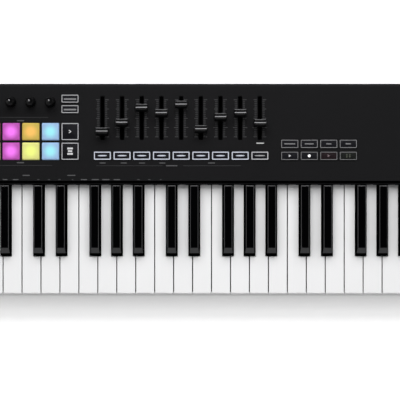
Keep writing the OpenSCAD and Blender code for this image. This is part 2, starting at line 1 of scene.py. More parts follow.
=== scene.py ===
"""The 61-key controller keyboard: looks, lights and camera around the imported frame. Metres throughout."""
import math

import bmesh
import bpy
from mathutils import Matrix, Vector


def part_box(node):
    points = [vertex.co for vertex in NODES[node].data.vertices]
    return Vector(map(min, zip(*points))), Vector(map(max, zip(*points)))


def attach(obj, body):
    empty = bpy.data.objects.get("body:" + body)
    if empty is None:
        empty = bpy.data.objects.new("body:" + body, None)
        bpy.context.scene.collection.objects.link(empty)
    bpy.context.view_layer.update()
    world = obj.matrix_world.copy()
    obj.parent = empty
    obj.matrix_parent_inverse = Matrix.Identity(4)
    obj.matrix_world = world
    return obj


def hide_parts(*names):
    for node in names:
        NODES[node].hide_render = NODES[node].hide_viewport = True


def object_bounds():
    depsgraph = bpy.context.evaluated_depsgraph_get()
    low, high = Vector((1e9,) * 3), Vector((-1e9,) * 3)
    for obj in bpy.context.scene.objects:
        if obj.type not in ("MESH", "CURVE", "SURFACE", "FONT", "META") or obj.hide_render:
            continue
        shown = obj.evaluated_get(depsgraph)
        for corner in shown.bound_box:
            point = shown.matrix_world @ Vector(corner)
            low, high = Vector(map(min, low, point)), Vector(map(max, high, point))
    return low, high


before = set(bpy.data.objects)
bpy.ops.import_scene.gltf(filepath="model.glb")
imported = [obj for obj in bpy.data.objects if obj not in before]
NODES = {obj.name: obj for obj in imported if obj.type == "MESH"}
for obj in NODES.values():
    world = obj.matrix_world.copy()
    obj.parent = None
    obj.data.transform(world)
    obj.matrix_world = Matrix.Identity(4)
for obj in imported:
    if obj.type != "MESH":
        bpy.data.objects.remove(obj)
cad_low, cad_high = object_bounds()

MM = 0.001
SCENE = bpy.context.scene
CASE = "case_body"
OCTAVES = 5
KNOBS = 8
FADERS = 9
PANEL_Z = 0.063
KEY_Z = 0.050
# Where the camera stands over the keys, and the angle that the picture spans
CAMERA_AT = (-0.0002, -0.0133, KEY_Z + 1.602)
VIEW_ANGLE = math.radians(17.6)
# Edges sharper than this stay sharp in the shading, or get a round
SHARP = math.radians(35)
# Points nearer than this are one point
WELD = 0.001 * MM
# Share of a pad's seen brightness that is its own colour, with the studio light and its lamp behind it
PAD_SHARE = 0.62


# ---------------------------------------------------------------- materials

def principled(name, colour, roughness, specular=0.5, metallic=0.0):
    """A node material with its Principled shader, with the constants set on the shader's own sockets."""
    mat = bpy.data.materials.new(name)
    mat.use_nodes = True
    shader = mat.node_tree.nodes["Principled BSDF"]
    shader.inputs["Base Color"].default_value = (*colour, 1.0)
    shader.inputs["Roughness"].default_value = roughness
    shader.inputs["Specular IOR Level"].default_value = specular
    shader.inputs["Metallic"].default_value = metallic
    return mat, shader


def noise(mat, size, detail=2.0, stretch=(1.0, 1.0, 1.0)):
    """A noise texture in the object's own coordinates, whose grains are about size metres across."""
    nodes, links = mat.node_tree.nodes, mat.node_tree.links
    where = nodes.new("ShaderNodeTexCoord")
    scale = nodes.new("ShaderNodeMapping")
    scale.inputs["Scale"].default_value = stretch
    tex = nodes.new("ShaderNodeTexNoise")
    tex.inputs["Scale"].default_value = 1.0 / size
    tex.inputs["Detail"].default_value = detail
    links.new(where.outputs["Object"], scale.inputs["Vector"])
    links.new(scale.outputs["Vector"], tex.inputs["Vector"])
    return tex.outputs["Fac"]


def ramp(mat, factor, low, high, start=0.3, end=0.7):
    """A colour ramp from low to high over factor."""
    node = mat.node_tree.nodes.new("ShaderNodeValToRGB")
    node.color_ramp.elements[0].position = start
    node.color_ramp.elements[0].color = (*low, 1.0)
    node.color_ramp.elements[1].position = end
    node.color_ramp.elements[1].color = (*high, 1.0)
    mat.node_tree.links.new(factor, node.inputs["Fac"])
    return node.outputs["Color"]


def spread(mat, factor, low, high):
    """A number from low to high over factor."""
    node = mat.node_tree.nodes.new("ShaderNodeMapRange")
    node.inputs["From Min"].default_value = 0.3
    node.inputs["From Max"].default_value = 0.7
    node.inputs["To Min"].default_value = low
    node.inputs["To Max"].default_value = high
    mat.node_tree.links.new(factor, node.inputs["Value"])
    return node.outputs["Result"]


def bump(mat, shader, height, strength, depth):
    """Roughens the shader's surface by height, depth metres deep at full strength."""
    node = mat.node_tree.nodes.new("ShaderNodeBump")
    node.inputs["Strength"].default_value = strength
    node.inputs["Distance"].default_value = depth
    mat.node_tree.links.new(height, node.inputs["Height"])
    mat.node_tree.links.new(node.outputs["Normal"], shader.inputs["Normal"])


def tinted(colour, gain):
    """The colour made brighter or darker, and no brighter than white."""
    return tuple(min(1.0, c * gain) for c in colour)


def moulded(name, colour, roughness, specular=0.35, grain=0.4 * MM, depth=0.02 * MM, vary=0.08):
    """Moulded plastic or rubber: a fine grain in the surface, and a slow drift of colour and roughness."""
    mat, shader = principled(name, colour, roughness, specular)
    links = mat.node_tree.links
    drift = noise(mat, 60 * MM, 3.0)
    links.new(ramp(mat, drift, tinted(colour, 1 - vary), tinted(colour, 1 + vary)), shader.inputs["Base Color"])
    fine = noise(mat, grain, 3.0)
    links.new(spread(mat, fine, roughness - 0.05, roughness + 0.05), shader.inputs["Roughness"])
    bump(mat, shader, fine, 0.35, depth)
    return mat


def metal(name, colour, roughness, stretch=(1.0, 1.0, 1.0)):
    """Plain or brushed metal, with the grain stretched along the axis whose scale is small."""
    mat, shader = principled(name, colour, roughness, metallic=1.0)
    links = mat.node_tree.links
    grain = noise(mat, 0.5 * MM, 4.0, stretch)
    links.new(ramp(mat, grain, tinted(colour, 0.85), tinted(colour, 1.1)), shader.inputs["Base Color"])
    links.new(spread(mat, grain, roughness - 0.08, roughness + 0.1), shader.inputs["Roughness"])
    bump(mat, shader, grain, 0.2, 0.02 * MM)
    return mat


def glowing(name, colour, strength, roughness=0.5):
    """Printed or lit lacquer, which gives off a little of its own colour: on the lit buttons that is their lamps,
    and on printed marks, which no lamp lights, it is a painted glow.
    """
    mat, shader = principled(name, colour, roughness, 0.3)
    links = mat.node_tree.links
    fleck = noise(mat, 1.2 * MM, 2.0)
    tint = ramp(mat, fleck, tinted(colour, 0.92), tinted(colour, 1.06))
    links.new(tint, shader.inputs["Base Color"])
    links.new(tint, shader.inputs["Emission Color"])
    shader.inputs["Emission Strength"].default_value = strength
    return mat


def lit_pad(name, centre, edge):
    """Silicone lit from below: bright over its lamp, duller towards its edges. It reads the pad's own frame."""
    centre, edge = tinted(centre, PAD_SHARE), tinted(edge, PAD_SHARE)
    mat, shader = principled(name, centre, 0.55, 0.1)
    nodes, links = mat.node_tree.nodes, mat.node_tree.links
    where = nodes.new("ShaderNodeTexCoord")
    flat = nodes.new("ShaderNodeVectorMath")
    flat.operation = "MULTIPLY"
    flat.inputs[1].default_value = (1.0, 1.0, 0.0)
    reach = nodes.new("ShaderNodeVectorMath")
    reach.operation = "LENGTH"
    links.new(where.outputs["Object"], flat.inputs[0])
    links.new(flat.outputs["Vector"], reach.inputs[0])
    glow = nodes.new("ShaderNodeValToRGB")
    glow.color_ramp.interpolation = "EASE"
    glow.color_ramp.elements[0].color = (*centre, 1.0)
    glow.color_ramp.elements[1].color = (*edge, 1.0)
    span = nodes.new("ShaderNodeMapRange")
    span.inputs["From Min"].default_value = 2.0 * MM
    span.inputs["From Max"].default_value = 11.0 * MM
    links.new(reach.outputs["Value"], span.inputs["Value"])
    links.new(span.outputs["Result"], glow.inputs["Fac"])
    links.new(glow.outputs["Color"], shader.inputs["Base Color"])
    links.new(glow.outputs["Color"], shader.inputs["Emission Color"])
    shader.inputs["Emission Strength"].default_value = 0.45
    fine = noise(mat, 0.5 * MM, 2.0)
    links.new(spread(mat, fine, 0.5, 0.62), shader.inputs["Roughness"])
    bump(mat, shader, fine, 0.25, 0.02 * MM)
    return mat


def glossy_edges_painted_highlight(name, flat, edge, roughness, specular):
    """Black plastic, matt on its flat tops and its walls, glossy on its rounded edges and slopes, and painted paler
    there as a highlight.
    """
    mat, shader = principled(name, flat, roughness, specular)
    nodes, links = mat.node_tree.nodes, mat.node_tree.links
    facing = nodes.new("ShaderNodeNewGeometry")
    split = nodes.new("ShaderNodeSeparateXYZ")
    links.new(facing.outputs["Normal"], split.inputs["Vector"])
    # The paler colour on the rounded edges and slopes is a painted highlight; the specular ramp only makes them
    # glossy.
    for socket, low, high in (("Base Color", flat, edge), ("Specular IOR Level", (0.0,) * 3, (specular,) * 3)):
        shine = nodes.new("ShaderNodeValToRGB")
        stops = ((0.58, low), (0.66, high), (0.88, high), (0.97, low))
        shine.color_ramp.elements.new(0.5)
        shine.color_ramp.elements.new(0.6)
        for element, (where, colour) in zip(shine.color_ramp.elements, stops):
            element.position = where
            element.color = (*colour, 1.0)
        links.new(split.outputs["Z"], shine.inputs["Fac"])
        links.new(shine.outputs["Color"], shader.inputs[socket])
    fine = noise(mat, 0.35 * MM, 3.0)
    links.new(spread(mat, fine, roughness - 0.05, roughness + 0.05), shader.inputs["Roughness"])
    bump(mat, shader, fine, 0.3, 0.01 * MM)
    return mat


def felt_with_painted_shade(name, dark, pale):
    """Felt with painted shade: black under the panel's edge, where its shadow falls, and paler grey along the front
    edge towards the keys.
    """
    mat, shader = principled(name, dark, 0.95, 0.0)
    nodes, links = mat.node_tree.nodes, mat.node_tree.links
    where = nodes.new("ShaderNodeTexCoord")
    split = nodes.new("ShaderNodeSeparateXYZ")
    links.new(where.outputs["Object"], split.inputs["Vector"])
    span = nodes.new("ShaderNodeMapRange")
    span.inputs["From Min"].default_value = 5.9 * MM
    span.inputs["From Max"].default_value = 9.0 * MM
    links.new(split.outputs["Y"], span.inputs["Value"])
    # Painted shade: dark at the back under the panel's edge, paler towards the keys.
    links.new(ramp(mat, span.outputs["Result"], pale, dark), shader.inputs["Base Color"])
    fibres = noise(mat, 0.6 * MM, 3.0)
    links.new(spread(mat, fibres, 0.88, 0.98), shader.inputs["Roughness"])
    bump(mat, shader, fibres, 0.4, 0.2 * MM)
    return mat


def painted_gap_shade(mat, share):
    """Darkens the faces that turn sideways, as painted shade: the flanks of a key, which face the narrow gaps
    between the keys, are drawn darker than its top.
    """
    nodes, links = mat.node_tree.nodes, mat.node_tree.links
    shader = next(n for n in nodes if n.type == "BSDF_PRINCIPLED")
    colour = shader.inputs["Base Color"].links[0].from_socket
    facing = nodes.new("ShaderNodeNewGeometry")
    split = nodes.new("ShaderNodeSeparateXYZ")
    links.new(facing.outputs["Normal"], split.inputs["Vector"])
    side = nodes.new("ShaderNodeMath")
    side.operation = "ABSOLUTE"
    links.new(split.outputs["X"], side.inputs[0])
    flank_shade = nodes.new("ShaderNodeValToRGB")
    for element, (place, level) in zip(flank_shade.color_ramp.elements, ((0.45, 1.0), (0.85, share))):
        element.position = place
        element.color = (level, level, level, 1.0)
    links.new(side.outputs["Value"], flank_shade.inputs["Fac"])
    mix = nodes.new("ShaderNodeMix")
    mix.data_type = "RGBA"
    mix.blend_type = "MULTIPLY"
    mix.inputs[0].default_value = 1.0
    links.new(colour, mix.inputs[6])
    links.new(flank_shade.outputs["Color"], mix.inputs[7])
    links.new(mix.outputs[2], shader.inputs["Base Color"])
    return mat


def smoked_glass(name):
    """Dark glass with a slow unevenness in its polish."""
    mat, shader = principled(name, (0.004, 0.005, 0.007), 0.14, 0.2)
    fine = noise(mat, 40 * MM, 2.0)
    mat.node_tree.links.new(spread(mat, fine, 0.11, 0.18), shader.inputs["Roughness"])
    return mat


def make_materials():
    """Every material by the short name that the pieces use."""
    return {
        "panel": moulded("panel_plastic", (0.0062, 0.0062, 0.0068), 0.65, 0.06, grain=0.7 * MM, vary=0.04),
        "base": moulded("base_plastic", (0.0070, 0.0070, 0.0075), 0.6, 0.18, grain=0.9 * MM, depth=0.04 * MM),
        "foot": moulded("foot_rubber", (0.008, 0.008, 0.008), 0.85, 0.2, grain=0.8 * MM, depth=0.05 * MM),
        # White keys: the darker flanks are painted shade of the gaps between the keys.
        "white_key": painted_gap_shade(moulded("white_key_plastic", (0.785, 0.785, 0.79), 0.42, 0.3, grain=1.6 * MM,
                                         depth=0.004 * MM, vary=0.012), 0.5),
        # Black keys: the paler rounded edges and front slopes are a painted highlight.
        "black_key": glossy_edges_painted_highlight("black_key_plastic", (0.0008, 0.0008, 0.0010), (0.044, 0.044, 0.046), 0.32, 0.45),
        "knob": moulded("knob_plastic", (0.0026, 0.0026, 0.0028), 0.26, 0.055, grain=0.4 * MM),
        "cap": moulded("cap_plastic", (0.0030, 0.0030, 0.0033), 0.5, 0.08, grain=0.4 * MM),
        "button": moulded("button_plastic", (0.0050, 0.0050, 0.0068), 0.5, 0.06, grain=0.5 * MM),
        "button_red": moulded("button_plastic_red", (0.0095, 0.0050, 0.0062), 0.5, 0.06, grain=0.5 * MM),
        "button_green": moulded("button_plastic_green", (0.0056, 0.0064, 0.0056), 0.5, 0.06, grain=0.5 * MM),
        "wheel": moulded("wheel_rubber", (0.010, 0.010, 0.0105), 0.7, 0.25, grain=0.5 * MM, depth=0.05 * MM),
        "felt": moulded("black_felt", (0.0016, 0.0016, 0.0018), 0.95, 0.0, grain=0.6 * MM, depth=0.2 * MM),
        # The edge felt's black back and grey front are painted shade.
        "edge_felt": felt_with_painted_shade("edge_felt", (0.0012, 0.0012, 0.0014), (0.034, 0.034, 0.036)),
        # The pale bands beside the fader slots are painted highlight.
        "slot_side_highlight": moulded("slot_side_painted_highlight", (0.0105, 0.0105, 0.0115), 0.6, 0.05, grain=0.5 * MM),
        "rubber": moulded("contact_rubber", (0.018, 0.018, 0.019), 0.65, 0.3, grain=0.8 * MM),
        "socket": moulded("socket_plastic", (0.007, 0.007, 0.007), 0.4, 0.4, grain=0.5 * MM),
        "board": moulded("board_lacquer", (0.01, 0.055, 0.02), 0.35, 0.5, grain=2.0 * MM, vary=0.2),
        "lcd": moulded("display_panel", (0.012, 0.02, 0.018), 0.3, 0.5, grain=1.0 * MM),
        "cable": moulded("cable_plastic", (0.35, 0.35, 0.34), 0.5, 0.4, grain=1.0 * MM),
        "steel": metal("plated_steel", (0.55, 0.55, 0.56), 0.35, (0.05, 1.0, 1.0)),
        "chassis": moulded("chassis_paint", (0.014, 0.014, 0.015), 0.5, 0.4, grain=1.0 * MM),
        "screw": metal("screw_steel", (0.32, 0.32, 0.33), 0.38),
        "tin": metal("socket_tin", (0.62, 0.62, 0.63), 0.3),
        "glass": smoked_glass("display_glass"),
        "line_bright": glowing("outline_bright", (0.45, 0.47, 0.54), 0.15),
        "line_white": glowing("outline_white", (0.36, 0.36, 0.38), 0.12),
        "line_grey": glowing("outline_grey", (0.32, 0.32, 0.33), 0.12),
        "line_ghost": glowing("outline_ghost", (0.13, 0.13, 0.134), 0.05),
        "line_dim": glowing("outline_dim", (0.17, 0.17, 0.175), 0.06),
        "label_bright": glowing("label_bright", (0.42, 0.44, 0.51), 0.15),
        "label_grey": glowing("label_grey", (0.28, 0.28, 0.29), 0.10),
        "label_dim": glowing("label_dim", (0.16, 0.16, 0.165), 0.05),
        "icon_white": glowing("icon_white", (0.86, 0.86, 0.86), 0.3),
        "icon_grey": glowing("icon_grey", (0.50, 0.50, 0.51), 0.08),
        "icon_red": glowing("icon_red", (0.14, 0.10, 0.11), 0.04),
        "icon_green": glowing("icon_green", (0.036, 0.042, 0.029), 0.02),
        "print": glowing("panel_print", (0.066, 0.066, 0.069), 0.0, 0.6),
        "print_ghost": glowing("panel_print_ghost", (0.0155, 0.0155, 0.0168), 0.0, 0.6),
        "print_faint": glowing("panel_print_faint", (0.030, 0.030, 0.032), 0.0, 0.6),
        # The white print, the fader caps' index lines and the knob pointers glow a little, though no lamp lights
        # them: painted glow.
        "print_white": glowing("panel_print_white", (0.48, 0.48, 0.49), 0.08, 0.6),
        "cap_line": glowing("cap_line", (0.30, 0.30, 0.31), 0.04, 0.5),
        # The grey line on the fader caps' rear edges is a painted highlight.
        "cap_edge_highlight": glowing("cap_painted_edge_highlight", (0.13, 0.13, 0.135), 0.0, 0.5),
        # The knob pointer is part pointer, part painted highlight of the glint on the knob's top.
        "pointer": glowing("knob_pointer_glint", (0.27, 0.27, 0.28), 0.04, 0.5),
    }


MAT = make_materials()

# ---------------------------------------------------------------- mesh tools


def rounded(w, d, r, steps=4):
    """The corners of a rounded rectangle, anticlockwise, as (x, y)."""
    points = []
    r = min(r, w / 2 - WELD, d / 2 - WELD)
    for cx, cy, start in ((1, 1, 0), (-1, 1, 90), (-1, -1, 180), (1, -1, 270)):
        for i in range(steps + 1):
            a = math.radians(start + 90 * i / steps)
            points.append((cx * (w / 2 - r) + r * math.cos(a), cy * (d / 2 - r) + r * math.sin(a)))
    return points


def ring(bm, points, z, x=0.0, y=0.0):
    """A loop of vertices through the points at height z, moved by x and y."""
    return [bm.verts.new((x + p[0], y + p[1], z)) for p in points]


def bridge(bm, low, high):
    """Side faces between two rings with equal counts."""
    n = len(low)
    for i in range(n):
        j = (i + 1) % n
        bm.faces.new((low[i], low[j], high[j], high[i]))


def loft(bm, w, d, r, levels, x=0.0, y=0.0):
    """A closed solid through rounded rectangles: levels are (inset, z) from the foot up."""
    rings = []
    for inset, z in levels:
        points = rounded(w - 2 * inset, d - 2 * inset, max(r - inset, 0.1 * MM))
        rings.append(ring(bm, points, z, x, y))
    for low, high in zip(rings, rings[1:]):
        bridge(bm, low, high)
    bm.faces.new(rings[-1])
    bm.faces.new(list(reversed(rings[0])))


def frame_ring(bm, w, d, r, line, z, high, x=0.0, y=0.0):
    """A flat rounded frame whose line is line wide, from z to z + high."""
    outer, inner = rounded(w, d, r), rounded(w - 2 * line, d - 2 * line, max(r - line, 0.15 * MM))
    rings = [ring(bm, outer, z, x, y), ring(bm, outer, z + high, x, y),
             ring(bm, inner, z + high, x, y), ring(bm, inner, z, x, y)]
    for a, b in zip(rings, rings[1:] + rings[:1]):
        bridge(bm, a, b)


def bar(bm, x, y, w, d, z, high=0.12 * MM):
    """A printed mark: a low bar with round ends."""
    loft(bm, w, d, 0.45 * min(w, d), [(0, z), (0, z + 0.7 * high), (0.05 * MM, z + high)], x, y)


def finish_piece(name, bm, material, body, location=(0.0, 0.0, 0.0)):
    """Makes the object from bm, shades it smooth up to SHARP, and rides it on the body."""
    bmesh.ops.recalc_face_normals(bm, faces=bm.faces)
    mesh = bpy.data.meshes.new(name)
    bm.to_mesh(mesh)
    bm.free()
    mesh.materials.append(material)
    mesh.shade_smooth()
    mesh.set_sharp_from_angle(angle=SHARP)
    obj = bpy.data.objects.new(name, mesh)
    SCENE.collection.objects.link(obj)
    obj.location = location
    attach(obj, body)
    return obj


def solids(node):
    """The solids of a CAD node as (lowest, highest, top width, top depth), from left to right and front to back."""
    bm = bmesh.new()
    bm.from_mesh(NODES[node].data)
    bmesh.ops.remove_doubles(bm, verts=bm.verts, dist=WELD)
    seen, found = set(), []
    for first in bm.verts:
        if first in seen:
            continue
        seen.add(first)
        group, todo = [], [first]
        while todo:
            v = todo.pop()
            group.append(v.co.copy())
            for e in v.link_edges:
                other = e.other_vert(v)
                if other not in seen:
                    seen.add(other)
                    todo.append(other)
        low = Vector(min(c[i] for c in group) for i in range(3))
        high = Vector(max(c[i] for c in group) for i in range(3))
        top = [c for c in group if c.z > high.z - 0.1 * MM]
        width = max(c.x for c in top) - min(c.x for c in top)
        depth = max(c.y for c in top) - min(c.y for c in top)
        found.append((low, high, width, depth))
    bm.free()
    return sorted(found, key=lambda s: (round(s[0].x, 4), round(s[0].y, 4)))


def soften(node, material, width=0.0, segments=2):
    """Dresses a CAD node: its material, and a fine round on its sharp edges."""
    obj = NODES[node]
    for slot in obj.material_slots:
        slot.material = material
    weld = obj.modifiers.new("weld", "WELD")
    weld.merge_threshold = WELD
    if width:
        flat = obj.modifiers.new("flat", "DECIMATE")
        flat.decimate_type = "DISSOLVE"
        flat.angle_limit = math.radians(0.5)
        edge = obj.modifiers.new("edge", "BEVEL")
        edge.width = width
        edge.segments = segments
        edge.limit_method = "ANGLE"
        edge.angle_limit = SHARP
        edge.use_clamp_overlap = True
        edge.harden_normals = True


# ---------------------------------------------------------------- camera, floor and light

def make_camera():
    """Straight down over the middle of the case, as the photograph looks."""
    data = bpy.data.cameras.new("camera")
    data.sensor_width = 36.0
    data.lens = data.sensor_width / 2 / math.tan(VIEW_ANGLE / 2)
    data.clip_end = 50.0
    cam = bpy.data.objects.new("camera", data)
    cam.location = CAMERA_AT
    SCENE.collection.objects.link(cam)
    SCENE.camera = cam


def area_light(name, location, size, depth, power):
    """A rectangular soft light that looks at the middle of the case."""
    data = bpy.data.lights.new(name, "AREA")
    data.shape = "RECTANGLE"
    data.size, data.size_y = size, depth
    data.energy = power
    lamp = bpy.data.objects.new(name, data)
    lamp.location = location
    lamp.rotation_euler = (-Vector(location)).to_track_quat("-Z", "Y").to_euler()
    SCENE.collection.objects.link(lamp)
    return lamp


def contact_shade(mat, shader):
    """The floor glows a little to even out the studio, and least of all where it runs under the case."""
    nodes, links = mat.node_tree.nodes, mat.node_tree.links
    where = nodes.new("ShaderNodeTexCoord")
    split = nodes.new("ShaderNodeSeparateXYZ")
    links.new(where.outputs["Object"], split.inputs["Vector"])
    farther = nodes.new("ShaderNodeMath")
    farther.operation = "MAXIMUM"
    sideways = nodes.new("ShaderNodeMath")
    sideways.operation = "ABSOLUTE"
    links.new(split.outputs["X"], sideways.inputs[0])
    for slot, (place, edge, way) in enumerate(((sideways.outputs["Value"], cad_high.x, 1.0),
                                               (split.outputs["Y"], cad_low.y, -1.0))):
        away = nodes.new("ShaderNodeMapRange")
        away.inputs["From Min"].default_value = edge + way * 3.0 * MM
        away.inputs["From Max"].default_value = edge + way * 27.0 * MM
        links.new(place, away.inputs["Value"])
        links.new(away.outputs["Result"], farther.inputs[slot])
    glow = nodes.new("ShaderNodeValToRGB")
    glow.color_ramp.elements.new(0.2)
    glow.color_ramp.elements.new(0.6)
    levels = ((0.04, 0.16), (0.16, 0.36), (0.60, 0.46), (1.0, 0.58))
    for element, (place, level) in zip(glow.color_ramp.elements, levels):
        element.position = place
        element.color = (level, level, level, 1.0)
    links.new(farther.outputs["Value"], glow.inputs["Fac"])
    links.new(glow.outputs["Color"], shader.inputs["Emission Strength"])


def make_stage():
    """A pale floor, a large soft box behind and above, and a studio that is bright round its walls."""
    bm = bmesh.new()
    loft(bm, 14.0, 14.0, 3.0, [(0, -0.02), (0, 0.0)])
    floor_mat, shader = principled("floor", (0.93, 0.93, 0.93), 0.9, 0.1)
    tint = ramp(floor_mat, noise(floor_mat, 0.6, 2.0), (0.92, 0.92, 0.92), (0.94, 0.94, 0.94))
    floor_mat.node_tree.links.new(tint, shader.inputs["Base Color"])
    floor_mat.node_tree.links.new(tint, shader.inputs["Emission Color"])
    contact_shade(floor_mat, shader)
    mesh = bpy.data.meshes.new("floor")
    bm.to_mesh(mesh)
    bm.free()
    mesh.materials.append(floor_mat)
    floor = bpy.data.objects.new("floor", mesh)
    SCENE.collection.objects.link(floor)

    world = bpy.data.worlds.new("studio")
    world.use_nodes = True
    SCENE.world = world
    nodes, links = world.node_tree.nodes, world.node_tree.links
    where = nodes.new("ShaderNodeTexCoord")
    split = nodes.new("ShaderNodeSeparateXYZ")
    sky = nodes.new("ShaderNodeValToRGB")
    sky.color_ramp.elements[0].position = 0.0
    sky.color_ramp.elements[0].color = (1.0, 1.0, 1.0, 1.0)
    sky.color_ramp.elements[1].position = 1.0
    sky.color_ramp.elements[1].color = (0.38, 0.38, 0.385, 1.0)
    links.new(where.outputs["Generated"], split.inputs["Vector"])
    links.new(split.outputs["Z"], sky.inputs["Fac"])
    links.new(sky.outputs["Color"], nodes["Background"].inputs["Color"])
    nodes["Background"].inputs["Strength"].default_value = 0.45

    area_light("rear_softbox", (0.0, 1.95, 1.72), 3.6, 1.8, 118.0)
    # This lamp shows only as a glint on what is glossy.
    glint = area_light("overhead_lamp", (0.0, 0.22, 1.75), 0.3, 0.3, 6.0)
    glint.visible_diffuse = False
    area_light("left_softbox", (-2.2, -0.2, 1.6), 1.2, 1.6, 4.0)
    area_light("right_softbox", (2.2, -0.2, 1.6), 1.2, 1.6, 4.0)


# ---------------------------------------------------------------- the case and what shows inside it

def dress_case():
    """Materials and fine rounds for the CAD nodes that show as they are."""
    soften("top_case", MAT["panel"], 0.45 * MM)
    soften("bottom_case", MAT["base"], 0.6 * MM)
    soften("rubber_feet", MAT["foot"], 0.8 * MM)
    soften("case_screws", MAT["screw"])
    soften("key_chassis", MAT["chassis"])
    soften("key_pivot_rod", MAT["steel"])
    soften("key_springs", MAT["steel"])
    soften("key_felts", MAT["edge_felt"], 0.3 * MM)
    soften("key_contact_board", MAT["board"])
    soften("key_contact_rubber", MAT["rubber"])
    soften("control_board", MAT["board"])
    soften("button_mat", MAT["felt"])
    soften("fader_bodies", MAT["felt"])
    soften("knob_pots", MAT["screw"])
    soften("display_module", MAT["lcd"])
    soften("display_window", MAT["glass"], 0.3 * MM)
    soften("wheel_housing", MAT["base"], 0.3 * MM)
    soften("io_board", MAT["board"])
    soften("usb_socket", MAT["tin"], 0.2 * MM)
    soften("midi_socket", MAT["socket"], 0.3 * MM)
    soften("pedal_jack", MAT["socket"], 0.3 * MM)
    soften("ribbon_cables", MAT["cable"])
    soften("pitch_wheel", MAT["wheel"], 0.8 * MM, 3)
    soften("mod_wheel", MAT["wheel"], 0.8 * MM, 3)


def dress_keys():
    """The same for the key combs of every octave."""
    for k in range(1, OCTAVES + 1):
        soften(f"white_keys_cegb_{k}", MAT["white_key"], 0.7 * MM, 3)
        soften(f"white_keys_dfa_{k}", MAT["white_key"], 0.7 * MM, 3)
        soften(f"black_keys_{k}", MAT["black_key"], 0.25 * MM, 1)


# ---------------------------------------------------------------- pads

# Lamp colours of the pads as (centre, edge), and the colours of each row from left to right
MAGENTA = ((1.0, 0.22, 1.0), (0.50, 0.095, 0.45))
ORANGE = ((1.0, 0.57, 0.14), (0.60, 0.44, 0.09))
BLUE = ((0.37, 0.88, 0.96), (0.33, 0.50, 0.76))
LIME = ((0.91, 1.0, 0.25), (0.74, 0.74, 0.24))
RED = ((0.95, 0.20, 0.30), (0.62, 0.14, 0.22))
PEACH = ((1.0, 0.70, 0.48), (0.90, 0.72, 0.44))
GREEN = ((0.35, 1.0, 0.45), (0.16, 0.60, 0.24))
VIOLET = ((0.60, 0.42, 1.0), (0.32, 0.22, 0.65))
REAR_PADS = [VIOLET, GREEN, BLUE, LIME, RED, MAGENTA, ORANGE, BLUE]
FRONT_PADS = [BLUE, VIOLET, GREEN, ORANGE, PEACH, MAGENTA, LIME, BLUE]


def make_pads():
    """Sixteen soft pads, each crowned a little and lit by its own lamp."""
    for i, (low, high, w, d) in enumerate(solids("pads")):
        column, row = divmod(i, 2)
        centre, edge = (FRONT_PADS, REAR_PADS)[row][column]
        bm = bmesh.new()
        top = high.z - low.z
        flange_w, flange_d = high.x - low.x, high.y - low.y
        loft(bm, flange_w, flange_d, 1.5 * MM, [(0, 0), (0, 1.2 * MM), (0.3 * MM, 1.5 * MM)])
        loft(bm, w, d, 1.3 * MM, [(0, 1.4 * MM), (0, top - 1.1 * MM), (0.1 * MM, top - 0.7 * MM),
                                  (0.4 * MM, top - 0.4 * MM), (0.9 * MM, top - 0.2 * MM),
                                  (3.0 * MM, top - 0.08 * MM), (6.0 * MM, top)])
        name = f"pad_{('front', 'rear')[row]}_{column + 1}"
        place = ((low.x + high.x) / 2, (low.y + high.y) / 2, low.z)
        piece = finish_piece(name, bm, lit_pad(f"{name}_silicone", centre, edge), "pads", place)
        if i == 0:
            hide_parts("pads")


# ---------------------------------------------------------------- buttons

# Only square buttons are deeper than this
SQUARE_D = 15.0 * MM
# Between the two rows of square buttons: the rear ones have arrows, the front ones three bars
SQUARE_ROWS_MIDDLE = 60.0 * MM


def cap(bm, w, d, z0, z1, x, y):
    """A button's cap from z0 to z1 with a rounded rim."""
    loft(bm, w, d, 1.1 * MM, [(0, z0), (0, z1 - 0.5 * MM), (0.12 * MM, z1 - 0.18 * MM), (0.45 * MM, z1)], x, y)


def button_row(node, face_of, outline_of, label_of):
    """Dresses every button of a node: its cap, a lit outline and a generic mark."""
    for i, (low, high, w, d) in enumerate(solids(node)):
        x, y, z = (low.x + high.x) / 2, (low.y + high.y) / 2, high.z
        bm = bmesh.new()
        loft(bm, high.x - low.x, high.y - low.y, 1.2 * MM,
             [(0, low.z), (0, low.z + 1.2 * MM), (0.3 * MM, low.z + 1.5 * MM)], x, y)
        cap(bm, w, d, low.z + 1.4 * MM, z, x, y)
        piece = finish_piece(f"{node}_cap_{i + 1}", bm, face_of(i, x, y), node)
        if i == 0:
            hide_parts(node)
        material, line = outline_of(i, x, y)
        bm = bmesh.new()
        frame_ring(bm, w - 0.5 * MM, d - 0.5 * MM, 0.9 * MM, line, z - 0.05 * MM, 0.17 * MM, x, y)
        finish_piece(f"{node}_outline_{i + 1}", bm, material, node)
        label_of(i, x, y, z)


def bar_mark(name, body, x, y, z, w, d, material):
    """A bar with round ends that stands for a word or a line."""
    bm = bmesh.new()
    bar(bm, x, y, w, d, z)
    finish_piece(name, bm, MAT[material], body)


def polygon_mark(name, body, points, z, material):
    """A small flat icon from its outline."""
    bm = bmesh.new()
    low = [bm.verts.new((p[0], p[1], z)) for p in points]
    high = [bm.verts.new((p[0], p[1], z + 0.12 * MM)) for p in points]
    bridge(bm, low, high)
    bm.faces.new(high)
    bm.faces.new(list(reversed(low)))
    finish_piece(name, bm, MAT[material], body)


def ellipse(x, y, w, d, n):
    """The n corners of an ellipse, which stands for a lit word where it is long."""
    turns = (math.tau * i / n for i in range(n))
    return [(x + w / 2 * math.cos(a), y + d / 2 * math.sin(a)) for a in turns]


def arrow(x, y, tail, tip, half):
    """The corners of a triangle that points right."""
    return [(x - tail, y - half), (x + tip, y), (x - tail, y + half)]


